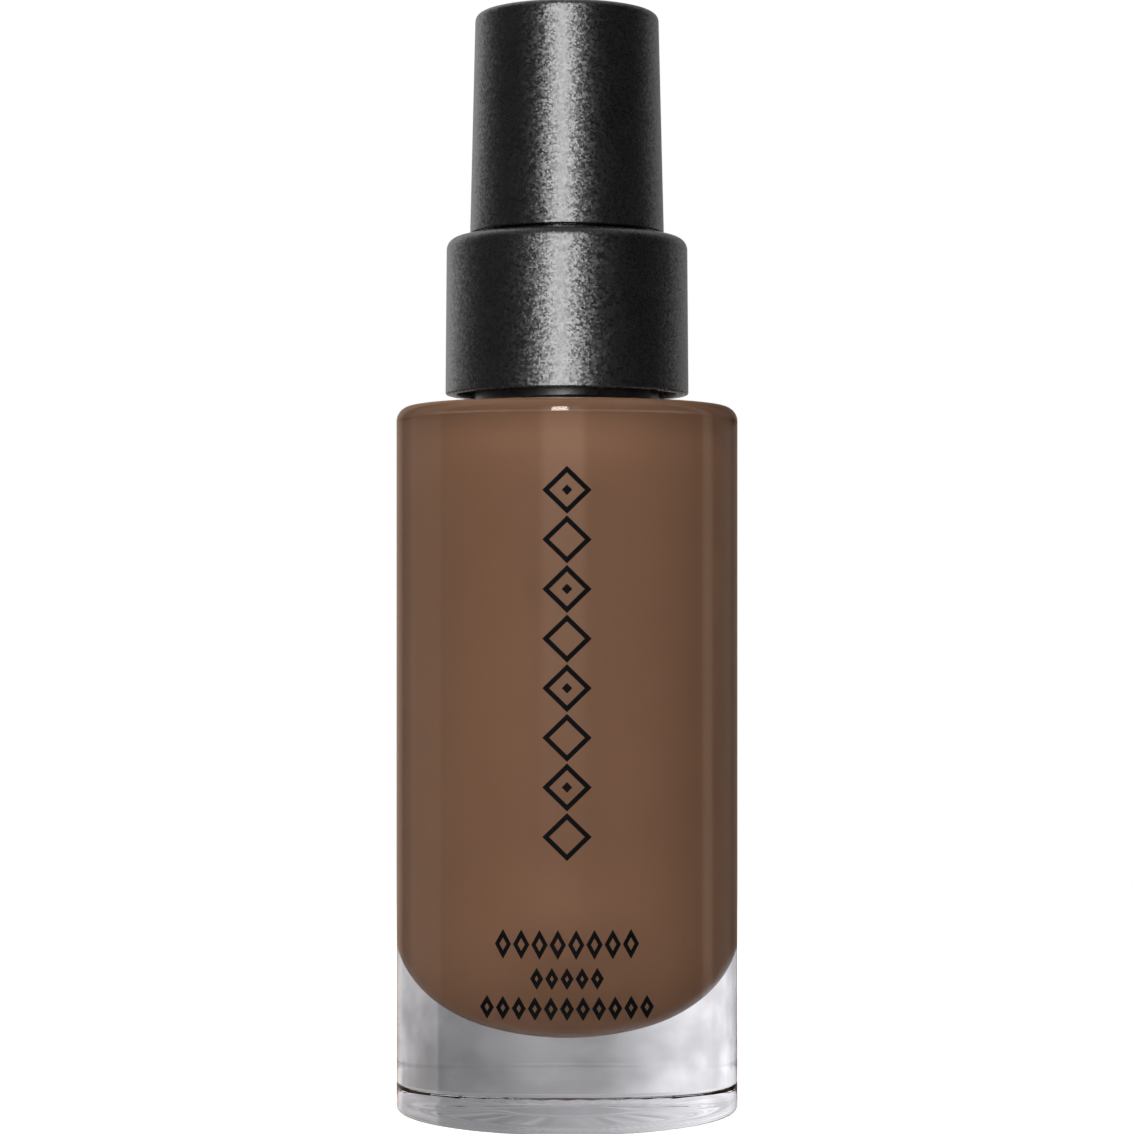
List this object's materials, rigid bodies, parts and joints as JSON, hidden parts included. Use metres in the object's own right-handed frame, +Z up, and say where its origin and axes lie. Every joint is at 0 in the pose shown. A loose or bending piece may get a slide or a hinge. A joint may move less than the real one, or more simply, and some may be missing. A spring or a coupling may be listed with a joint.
{
  "type": "foundation bottle",
  "caption": "Clear heavy-base glass foundation bottle filled with brown liquid, with a black screw-on dispensing pump, wide outer collar and tapered pull-off overcap.",
  "frame": {"origin": "centre of the base, on the surface that the bottle stands on", "axes": "+Z up along the bottle; the printed front and the nozzle face -Y; +X is to the right of a viewer who faces the front"},
  "size_m": [0.037, 0.0371, 0.1187],
  "materials": {
    "clear_glass": "polished clear flint glass",
    "foundation": "opaque warm brown liquid",
    "ink": "screen-printed near-black ink",
    "black_satin": "satin black with a fine sparkling grain",
    "black_plastic": "smooth black moulding",
    "liner_plastic": "plain black moulding",
    "natural_plastic": "uncoloured milky polypropylene",
    "seal_plastic": "soft uncoloured polyethylene",
    "gasket_foam": "white closed-cell liner",
    "steel": "bright stainless steel"
  },
  "bodies": {
    "bottle": {"glass_bottle": "clear_glass", "foundation_fill": "foundation", "print_motif": "ink", "print_caption": "ink"},
    "pump": {"neck_gasket": "gasket_foam", "pump_housing": "natural_plastic", "turret": "natural_plastic", "ball_retainer": "natural_plastic", "dip_tube": "natural_plastic", "return_spring": "steel"},
    "inlet_valve": {"inlet_ball": "steel"},
    "plunger": {"piston": "seal_plastic"},
    "head": {"stem": "natural_plastic", "piston_rod": "natural_plastic", "actuator_core": "black_plastic", "actuator_shell": "black_satin", "nozzle_insert": "black_plastic"},
    "closure": {"screw_closure": "black_plastic", "collar_shroud": "black_satin"},
    "overcap": {"overcap_shell": "black_satin", "overcap_liner": "liner_plastic"}
  },
  "joints": [
    {"name": "pump_rise", "type": "slide", "parent": "bottle", "child": "pump", "axis": [0, 0, 1], "range_m": [0, 0.00477]},
    {"name": "closure_turn", "type": "hinge", "parent": "pump", "child": "closure", "pos_m": [0, 0, 0.0846], "axis": [0, 0, 1], "range_deg": [0, 540]},
    {"name": "cap_pull", "type": "slide", "parent": "closure", "child": "overcap", "axis": [0, 0, 1], "range_m": [0, 0.04]},
    {"name": "pump_press", "type": "slide", "parent": "pump", "child": "plunger", "axis": [0, 0, -1], "range_m": [0, 0.0032], "stiffness_N_per_m": 3000, "deforming": ["return_spring"]},
    {"name": "head_turn", "type": "hinge", "parent": "plunger", "child": "head", "pos_m": [0, 0, 0.1], "axis": [0, 0, 1], "continuous": true},
    {"name": "ball_lift", "type": "slide", "parent": "pump", "child": "inlet_valve", "axis": [0, 0, 1], "range_m": [0, 0.0008]}
  ],
  "couplings": [
    {"joint": "pump_rise", "follows": "closure_turn", "m_per_rad": 0.00050532}
  ]
}
